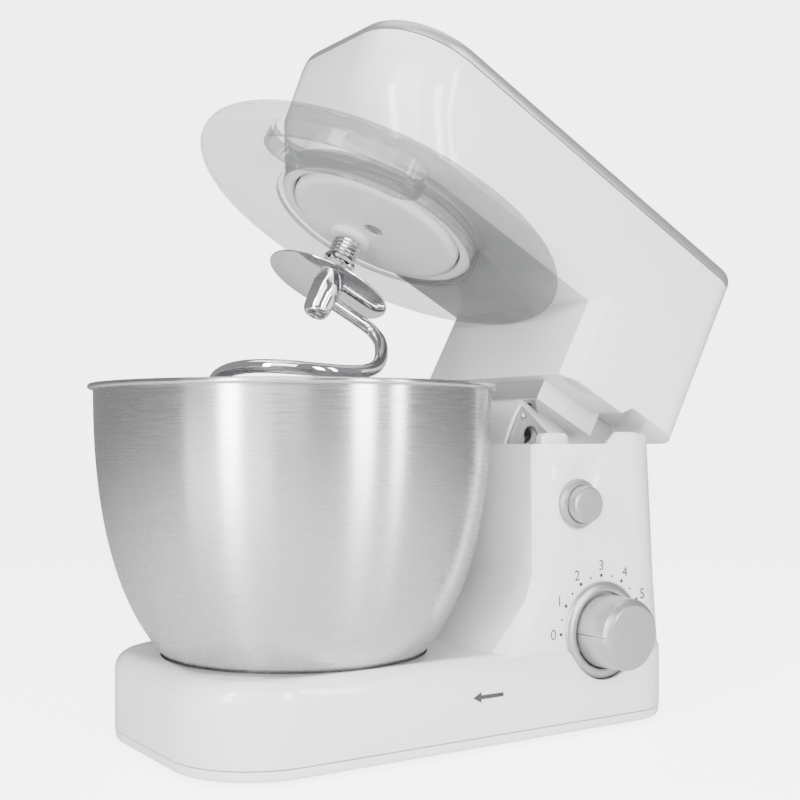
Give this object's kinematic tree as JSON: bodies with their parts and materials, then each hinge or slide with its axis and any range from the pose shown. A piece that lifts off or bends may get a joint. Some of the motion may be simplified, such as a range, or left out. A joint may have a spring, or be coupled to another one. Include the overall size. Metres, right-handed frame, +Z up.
{
  "type": "stand mixer",
  "caption": "Tilt-head stand mixer with its head raised: locking steel bowl, clear splash guard with a feed chute, planetary drive with a spiral dough hook, side speed dial.",
  "frame": {"origin": "centre of the footprint of the whole machine with the head raised, on the counter it stands on", "axes": "+Z up; -X towards the nose and the bowl, +X towards the column; -Y towards the side with the dial and the button"},
  "size_m": [0.3827, 0.22, 0.3885],
  "materials": {
    "white_plastic": "moulded, high gloss",
    "grey_plastic": "moulded, satin",
    "rubber": "matte",
    "steel_part": "plain steel, satin",
    "satin_silver": "silver-grey metallic paint, satin",
    "dark_plastic": "moulded, satin",
    "circuit_board": "coated board",
    "brushed_steel": "brushed round the bowl",
    "bronze": "sintered bronze",
    "cast_alloy": "cast",
    "gear_plastic": "natural nylon",
    "lamination_steel": "stacked laminations",
    "copper_wire": "enamelled copper",
    "carbon": "matte carbon",
    "chrome_steel": "polished",
    "clear_plastic": "clear, polished plastic"
  },
  "bodies": {
    "base": {"base_housing": "white_plastic", "column_housing": "white_plastic", "base_tray": "grey_plastic", "suction_foot_1": "rubber", "suction_foot_2": "rubber", "suction_foot_3": "rubber", "suction_foot_4": "rubber", "bowl_lock_ring": "steel_part", "hinge_bracket": "steel_part", "hinge_pin": "steel_part", "dial_bezel": "satin_silver", "button_bezel": "satin_silver", "speed_switch": "dark_plastic", "control_board": "circuit_board", "cord_gland": "dark_plastic", "base_screws": "steel_part"},
    "knob": {"speed_knob": "satin_silver", "selector_shaft": "steel_part"},
    "release": {"release_button": "satin_silver", "latch_bolt": "steel_part", "latch_spring": "steel_part"},
    "mixing_bowl": {"bowl": "brushed_steel", "bowl_foot": "steel_part"},
    "head": {"head_housing": "white_plastic", "top_cover": "satin_silver", "head_tongue": "white_plastic", "latch_plate": "grey_plastic", "hinge_bush_left": "bronze", "hinge_bush_right": "bronze", "gearbox_housing": "cast_alloy", "ring_gear": "gear_plastic", "hub_bearing": "steel_part", "hub_collar": "white_plastic", "motor_stator": "lamination_steel", "field_coils": "copper_wire", "motor_bracket_front": "cast_alloy", "motor_bracket_rear": "cast_alloy", "shaft_bearing_front": "bronze", "shaft_bearing_rear": "bronze", "carbon_brush_left": "carbon", "carbon_brush_right": "carbon", "cover_screws": "steel_part"},
    "rotor": {"rotor_shaft": "steel_part", "rotor_core": "lamination_steel", "commutator": "copper_wire", "cooling_fan": "gear_plastic", "worm": "steel_part"},
    "hub": {"output_shaft": "steel_part", "worm_wheel": "gear_plastic", "planetary_hub": "white_plastic", "hub_screw": "steel_part"},
    "spindle": {"spindle_shaft": "chrome_steel", "pinion": "gear_plastic", "drive_pin": "chrome_steel", "spindle_spring": "chrome_steel", "spring_washer": "chrome_steel"},
    "hook": {"hook_boss": "chrome_steel", "dough_guard": "chrome_steel", "dough_hook": "chrome_steel"},
    "guard": {"splash_guard": "clear_plastic"}
  },
  "joints": [
    {"name": "head_tilt", "type": "hinge", "parent": "base", "child": "head", "pos_m": [0.1165, 0, 0.138], "axis": [0, -1, 0], "range_deg": [0, 28]},
    {"name": "speed_turn", "type": "hinge", "parent": "base", "child": "knob", "pos_m": [0.0735, -0.0754, 0.057], "axis": [0, 1, 0], "range_deg": [0, 150]},
    {"name": "release_press", "type": "slide", "parent": "base", "child": "release", "axis": [0, 1, 0], "range_m": [0, 0.006], "stiffness_N_per_m": 400},
    {"name": "bowl_turn", "type": "hinge", "parent": "base", "child": "mixing_bowl", "pos_m": [-0.081, 0, 0.05], "axis": [0, 0, 1], "range_deg": [0, 40]},
    {"name": "hub_spin", "type": "hinge", "parent": "head", "child": "hub", "pos_m": [-0.02877, 0, 0.28546], "axis": [0.4695, 0, 0.8829], "continuous": true},
    {"name": "spindle_spin", "type": "hinge", "parent": "hub", "child": "spindle", "pos_m": [-0.02877, 0.024, 0.28546], "axis": [0.4695, 0, 0.8829], "continuous": true},
    {"name": "rotor_spin", "type": "hinge", "parent": "head", "child": "rotor", "pos_m": [0.05405, 0.0265, 0.28786], "axis": [0.8829, 0, -0.4695], "continuous": true},
    {"name": "hook_pull", "type": "slide", "parent": "spindle", "child": "hook", "axis": [-0.4695, 0, -0.8829], "range_m": [0, 0.006]},
    {"name": "guard_pull", "type": "slide", "parent": "head", "child": "guard", "axis": [-0.4695, 0, -0.8829], "range_m": [0, 0.005]}
  ],
  "couplings": [
    {"joint": "spindle_spin", "follows": "hub_spin", "ratio": -3},
    {"joint": "rotor_spin", "follows": "hub_spin", "ratio": 40}
  ]
}
